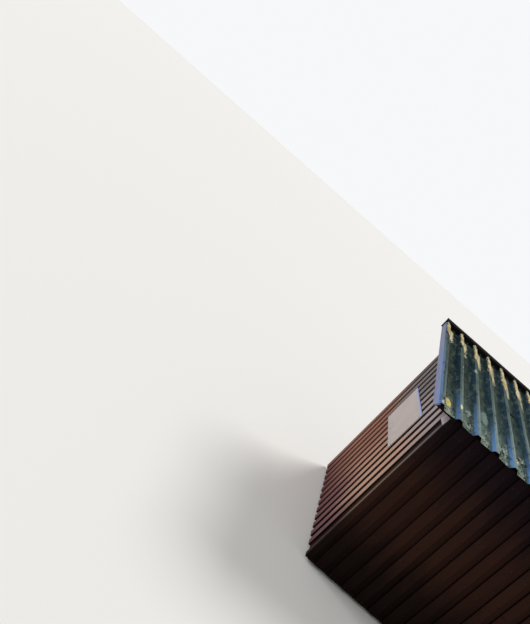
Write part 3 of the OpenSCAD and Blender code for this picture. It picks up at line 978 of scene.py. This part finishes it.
def make_doors():
    """Each leaf is one layer of boards whose eased arrises meet in small V joints, nailed to the
    ledges and bolted to the strap hinges."""
    nail_skins = []
    bolt_skins = []
    for name in ("left_door", "right_door"):
        low, high = node_box(name)
        wide = (high[0] - low[0])/DOOR_BOARDS
        middles = low[0] + wide*(np.arange(DOOR_BOARDS) + 0.5)
        leaf = boards(
            points_of(middles, low[1], low[2]), Z, Y, wide - DOOR_GAP, high[2] - low[2],
            500 + DOOR_BOARDS, ease=0.004, wander=0.0002,
        )
        piece(name + "_boards", [leaf], FRONT_RED, [name])
        under, over = (corner[2] for corner in node_box(name + "_ledges"))
        x, z = crossed(middles, (under + LEDGE_NAIL, (under + over)/2, over - LEDGE_NAIL))
        nail_skins.append(studs(points_of(x, high[1], z), Y, NAIL, 6, 80 + DOOR_BOARDS))
        hinge_low, hinge_high = node_box(name + "_hinges")
        face = Y_FRONT + HINGE_THICK
        side = math.copysign(1.0, low[0] + high[0])
        outer = max(abs(hinge_low[0]), abs(hinge_high[0]))
        for z in (hinge_low[2] + STRAP_MIDDLE, hinge_high[2] - STRAP_MIDDLE):
            strap = [(side*(outer - reach), face, z) for reach in STRAP_BOLTS]
            plate = [(side*(outer - PLATE_BOLT), face, z + up*PLATE_RISE) for up in (-1, 1)]
            bolt_skins.append(studs(strap + plate, Y, BOLT, 8, 85))
    piece("door_nails", nail_skins, black_iron("door_nail_steel", "2a211f", 0.45))
    piece("hinge_bolts", bolt_skins, black_iron("bolt_iron"))


# Roof


def sheet_outline(number):
    """Upper face of a sheet's section from left to right, as (x, height) corners: four for each
    rib. The first rib of each sheet but the first lies on the last rib of the sheet before, and
    the outermost flanks of every sheet's last rib and of the first sheet stop half way down."""
    corners = []
    for i in range(SHEET_RIBS + 1):
        x = -VERGE_RIB + (number*SHEET_RIBS + i)*RIB_PITCH
        lapped = i == 0 and number > 0
        left = 1.0 if i > 0 else 0.85 if lapped else 0.5
        right = 0.5 if i == SHEET_RIBS else 1.0
        top = RIB_HEIGHT + (LAP_LIFT if lapped else 0.0)
        run = RIB_SIDE/RIB_HEIGHT*top
        corners += [
            (x - RIB_TOP/2 - left*run, (1 - left)*top),
            (x - RIB_TOP/2, top),
            (x + RIB_TOP/2, top),
            (x + RIB_TOP/2 + right*run, (1 - right)*top),
        ]
    return corners


def crust_reach():
    """How far down the slope the painted sunlight reaches on each rib."""
    reach = np.random.default_rng(7).uniform(0.42, 0.66, RIB_COUNT)
    reach[:6] = (0.42, 0.40, 0.52, 0.58, 0.62, 0.60)
    return reach


def roof_point(x, down, lift=0.0):
    """Points of the roof: x along the hut, a distance down the slope from the sheets' high edge,
    and a lift square to the pans."""
    top = np.array([0, Y_HIGH, pan_height(Y_HIGH)])
    x, down, lift = np.broadcast_arrays(x, down, lift)
    return top + x[..., None]*X + lift[..., None]*OFF_SLOPE - down[..., None]*UP_SLOPE


def roof_sheet(number, coat):
    """One ribbed sheet: its folded section, as points of the roof at x and the lift h, carried
    down the slope from the high edge, with a little ripple in the pans and bent lips at the low
    end."""
    draw = np.random.default_rng(40 + number)
    upper = filled(eased_line(sheet_outline(number), SHEET_FOLD), 0.022)
    section, around = folded(upper, SHEET_SKIN)
    x, h = section.T
    length = (Y_HIGH - Y_LOW - RIB_HEIGHT*math.sin(SLOPE))/math.cos(SLOPE) - 0.001
    s = np.append(np.linspace(0, length - LIP, 44), length - LIP*np.array([0.75, 0.5, 0.25, 0]))
    s = s[:, None]
    ripple = 0.0006*np.sin(31*x + 9*s) + 0.0005*np.sin(17*x - 23*s + number)
    lip = np.clip((s - length + LIP)/LIP, 0, 1)**2
    bent = 0.0022*np.sin(47*x + 5*draw.uniform()) + 0.0012*np.sin(131*x) - 0.002
    points = roof_point(x, s, h + ripple + lip*bent)
    # Marks for the coat: how far the painted sunlight reaches on each rib, and the undersides, which
    # the coat paints near-black as shade.
    rib = np.floor((x + VERGE_RIB)/RIB_PITCH + SUNLIT_CRUST_LEFT).astype(int)
    crust = crust_reach()[np.clip(rib, 0, RIB_COUNT - 1)]
    under = np.arange(len(x)) < len(upper)
    skin = swept(points[None], around + 10*number, s + 10*number, down=s, crust=crust, under=under)
    name = f"roof_sheet_{number + 1}"
    piece(name + "_skin", [skin], coat, [name])


def make_roof():
    """The sheets, and a screw with its washer in the middle of every pan, in four rows from the
    first batten to the last."""
    coat = sheet_coat()
    for number in range(SHEET_COUNT):
        roof_sheet(number, coat)
    low, high = node_box("roof_battens")
    first = (Y_HIGH - high[1] + BATTEN_SCREW)/math.cos(SLOPE)
    last = (Y_HIGH - low[1] - BATTEN_SCREW)/math.cos(SLOPE)
    down, pan = crossed(np.linspace(first, last, 4), np.arange(RIB_COUNT - 1))
    centres = roof_point(-VERGE_RIB + (pan + 0.5)*RIB_PITCH, down)
    skins = [studs(centres, OFF_SLOPE, WASHER, 12), studs(centres, OFF_SLOPE, HEXAGON, 6)]
    piece("roof_screws", skins, black_iron("screw_steel", "2f3433", 0.3))


def make_moss():
    """Small cushions of moss in the pans, thicker towards the low end: low domes of six sides."""
    draw = np.random.default_rng(11)
    count = 380
    pan = draw.integers(0, RIB_COUNT - 1, count)
    x = -VERGE_RIB + (pan + draw.uniform(0.24, 0.76, count))*RIB_PITCH
    reach = (Y_HIGH - Y_LOW)/math.cos(SLOPE) - 0.03
    down = reach*(1 - 0.75*draw.uniform(0, 1, count)**1.9)
    size = draw.uniform(0.4, 1.0, count)**1.5
    skin = studs(roof_point(x, down), OFF_SLOPE, CUSHION, 6, 12, size)
    piece("moss_cushions", [skin], cushion_moss(), sharp=80)


def up_slope(y, lift):
    """Distance up the slope from the sheets' low edge to a point at y that is lifted square to
    the pans."""
    return (y - Y_LOW + lift*math.sin(SLOPE))/math.cos(SLOPE)


def make_edges():
    """Barge boards, packing blocks, fascia and its capping."""
    # The barge boards' red paint is shown as painted sky reflection: lilac and blue-grey tones, greyer
    # towards the high edge and bluer just under the sheets and on the top edge.
    barge = edge_paint(
        "barge_paint_sky_reflection", "7a7e99", "6b7190", "6f7da4", "958f90", 0.35,
        far="6d7687", crown="637ca2",
    )
    lift = BARGE_TOP - BARGE_HEIGHT/2
    under = BARGE_TOP - BARGE_HEIGHT
    foot_top, foot_under = up_slope(Y_LOW, BARGE_TOP), up_slope(Y_LOW + BARGE_FOOT, under)
    foot = (foot_top + foot_under)/2
    for side, node in ((-1, "left_barge_board"), (1, "right_barge_board")):
        low, high = node_box(node)
        inner = min(abs(low[0]), abs(high[0]))
        origin = np.array([side*inner, Y_LOW, pan_height(Y_LOW)])
        start = origin + foot*UP_SLOPE + lift*OFF_SLOPE
        skin = boards(
            start, UP_SLOPE, side*X, BARGE_HEIGHT, up_slope(high[1], lift) - foot, 600 + side,
            shear=(side*(foot_top - foot_under)/BARGE_HEIGHT, side*math.tan(SLOPE)), wander=0.0006,
        )
        piece(node + "_wood", [skin], barge, [node])
    packing_blocks()
    trim_screws()
    low, high = FASCIA_LOW, FASCIA_HIGH
    black = edge_paint("fascia_paint", "171616", "100f10", "121112", "2e2a28", 0.2, growth=0.15)
    start = (low[0], low[1], (low[2] + high[2])/2)
    skin = boards(start, X, Y, high[2] - low[2], high[0] - low[0], 620, wander=0.0004)
    piece("front_fascia_wood", [skin], black, ["front_fascia"])
    capping()


def capping():
    """The folded capping over the fascia: a channel open at the bottom, with a slight sag."""
    low, high = node_box("fascia_capping")
    corners = [
        (low[1] + 0.0002, low[2]), (low[1] + 0.0006, high[2] - 0.0006),
        (high[1] - 0.0006, high[2] - 0.0006), (high[1] - 0.0002, low[2]),
    ]
    section, around = folded(filled(eased_line(corners, 0.003), 0.012), SHEET_SKIN)
    x = np.linspace(low[0] + 0.0005, high[0] - 0.0005, 60)[:, None]
    sag = 0.0005*np.sin(x*7) - 0.0005
    y, z = section.T
    cap = swept(points_of(x, y, z + sag)[None, ::-1], around, x)
    coat = black_iron("capping_coat", "0e0f12", 0.03)
    piece("fascia_capping_fold", [cap], coat, ["fascia_capping"])


def packing_blocks():
    """At each back corner, a short board that bridges the first recess under the roof's slope,
    and a square block on it that closes the corner under the sheets."""
    # The near-black tone of the narrow sides and of the square block is painted shade; the same tone
    # darkens the board near the back corner.
    coat = edge_paint(
        "block_paint_coat", "b3a6ac", "9d9298", "120d0e", "a89c9c", 0.2, dark_corner=True,
    )
    bottom = BLOCKS_LOW[2]
    square = 2*BOARD - PLAY
    skins = []
    for side in (-1, 1):
        toward = np.cross(side*X, Z)[1]*math.tan(SLOPE)
        y = Y_BACK + EVEN_START/2
        skins.append(boards(
            (side*(FACE_X - BOARD), y, bottom), Z, side*X, EVEN_START - PLAY,
            pan_height(y, BATTEN_UNDER) - bottom, 650 + side,
            shear=(0.0, toward), wander=0.0, step=0.04,
        ))
        # The square block is all in the near-black side tone: painted shade.
        y = Y_BACK + BOARD
        foot = pan_height(y, BATTEN_UNDER)
        skins.append(boards(
            (side*INSIDE_X, y, foot), Z, side*X, square, pan_height(y, 0.002) - foot, 660 + side,
            thick=square, shear=(toward, toward), wander=0.0, shade=1.0, step=0.02,
        ))
    piece("corner_packing_blocks", skins, coat, ["corner_blocks"])


def trim_screws():
    """Pairs of screws along the barge boards and the fascia."""
    along = np.linspace(0.16, up_slope(FASCIA_LOW[1], 0) - 0.06, 6)
    along, off = crossed(along, (-0.043, -0.005))
    skins = []
    outer = node_box("right_barge_board")[1][0]
    for side in (-1, 1):
        origin = np.array([side*outer, Y_LOW, pan_height(Y_LOW)])
        centres = origin + along[:, None]*UP_SLOPE + off[:, None]*OFF_SLOPE
        skins.append(studs(centres, side*X, SCREW, 8, 90 + side))
    x, z = crossed(
        np.linspace(FASCIA_LOW[0] + 0.05, FASCIA_HIGH[0] - 0.05, 9),
        (FASCIA_LOW[2] + 0.03, FASCIA_HIGH[2] - 0.045),
    )
    skins.append(studs(points_of(x, FASCIA_HIGH[1], z), Y, SCREW, 8, 93))
    piece("trim_screws", skins, black_iron("trim_screw_steel", "5c5c60", 0.3))


def make_notice():
    """The bare notice board with its screws."""
    low, high = node_box("notice_board")
    middle = (low[1] + high[1])/2
    panel = boards(
        (high[0], middle, low[2]), Z, -X, high[1] - low[1], high[2] - low[2], 640,
        thick=high[0] - low[0], ease=0.0015, wander=0.0004,
    )
    piece("notice_board_panel", [panel], notice_coat(high[2]), ["notice_board"])
    y, z = crossed(
        [low[1] + NOTICE_SCREW, middle, high[1] - NOTICE_SCREW],
        [low[2] + NOTICE_SCREW, high[2] - NOTICE_SCREW],
    )
    heads = studs(points_of(low[0], y, z), -X, WIDE_SCREW, 12)
    piece("notice_screws", [heads], black_iron("notice_screw_steel", "77787a", 0.2))


def finish_frame():
    """Materials of the frame's own pieces that stay, each with its grain along the piece."""
    bare = [sawn_timber("sawn_timber", axis, "b08d5c", "8b6a42") for axis in range(3)]
    damp = [sawn_timber("damp_timber", axis, "5c4a3a", "3d3128", 0.8) for axis in range(2)]
    # Near-black timber for the battens and rafters under the sheets: painted shade.
    dark = [
        sawn_timber("shade_dark_timber", axis, "2a201c", "15100e", knot="17110e") for axis in range(2)
    ]
    pieces = (
        (damp[0], "back_sill front_sill"),
        (damp[1], "left_sill right_sill"),
        (bare[0], "door_header back_top_plate front_top_plate back_rails front_rails"),
        (bare[0], "left_door_ledges right_door_ledges"),
        (bare[1], "left_rails right_rails"),
        (bare[2], "corner_posts back_middle_post door_posts"),
        (dark[0], "roof_battens"),
        (dark[1], "rafters"),
        (black_iron("hinge_iron"), "left_door_hinges right_door_hinges door_hasp"),
    )
    for material, nodes in pieces:
        for node in nodes.split():
            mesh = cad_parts[node].data
            mesh.materials.clear()
            mesh.materials.append(material)


# Stage


def make_stage():
    """A plain pale floor, soft lamps and a world that is white to the camera and to gloss."""
    reach = 60.0
    corners = [(-reach, -reach, 0), (reach, -reach, 0), (reach, reach, 0), (-reach, reach, 0)]
    mesh = bpy.data.meshes.new("floor")
    mesh.from_pydata(corners, [], [(0, 1, 2, 3)])
    coat = Coat("floor_paint")
    coat.fill(coat.shader, {"Base Color": paint("dedcd8"), "Roughness": 0.9})
    mesh.materials.append(coat.material)
    floor = placed("floor", mesh)
    world = bpy.data.worlds.new("studio")
    bpy.context.scene.world = world
    world.use_nodes = True
    world.node_tree.nodes.clear()
    net = Net(world.node_tree)
    ray = net.wires("ShaderNodeLightPath")
    seen = net.math("MAXIMUM", ray["Is Camera Ray"], ray["Is Glossy Ray"])
    seen = net.math("MAXIMUM", seen, ray["Is Transmission Ray"])
    values = {"Color": (0.97, 0.985, 1.0, 1.0), "Strength": 0.38 + seen*0.57}
    net.add("ShaderNodeOutputWorld", {0: net.wire("ShaderNodeBackground", values)})
    lamps = {"key": ((0.45, 0.55, 1.0), 1.9, 22), "side": ((-1.0, 0.12, 0.5), 2.0, 30)}
    for name, (towards, strength, spread_angle) in lamps.items():
        data = bpy.data.lights.new(name, "SUN")
        data.energy = strength
        data.angle = math.radians(spread_angle)
        lamp = placed(name, data)
        lamp.rotation_mode = "QUATERNION"
        lamp.rotation_quaternion = Vector(towards).to_track_quat("Z", "Y")


def make_camera():
    """The viewpoint: above and to the left of the back corner, turned about its own axis. The
    focal length and the shifts are given in pixels of a picture with this longer side."""
    focal, shift_x, shift_y, longer_side, sensor = 559.65, -23, 16, 624, 36
    yaw, pitch, roll = (math.radians(angle) for angle in (0.3865, -15.9594, -41.5490))
    ahead = Vector((math.sin(yaw)*math.cos(pitch), math.cos(yaw)*math.cos(pitch), math.sin(pitch)))
    level = Vector((math.cos(yaw), -math.sin(yaw), 0))
    down = ahead.cross(level)
    right = math.cos(roll)*level + math.sin(roll)*down
    under = -math.sin(roll)*level + math.cos(roll)*down
    data = bpy.data.cameras.new("camera")
    data.sensor_width = sensor
    data.lens = focal/longer_side*sensor
    data.shift_x = shift_x/longer_side
    data.shift_y = shift_y/longer_side
    data.clip_start = 0.05
    data.clip_end = 300
    camera = placed("camera", data)
    turn = Matrix((right, -under, -ahead)).transposed()
    camera.matrix_world = Matrix.Translation((-3.489, -5.6625, 2.918)) @ turn.to_4x4()
    bpy.context.scene.camera = camera


make_camera()
make_stage()
make_walls()
make_nails()
make_doors()
make_roof()
make_moss()
make_edges()
make_notice()
finish_frame()
bpy.context.scene.view_settings.view_transform = "Standard"
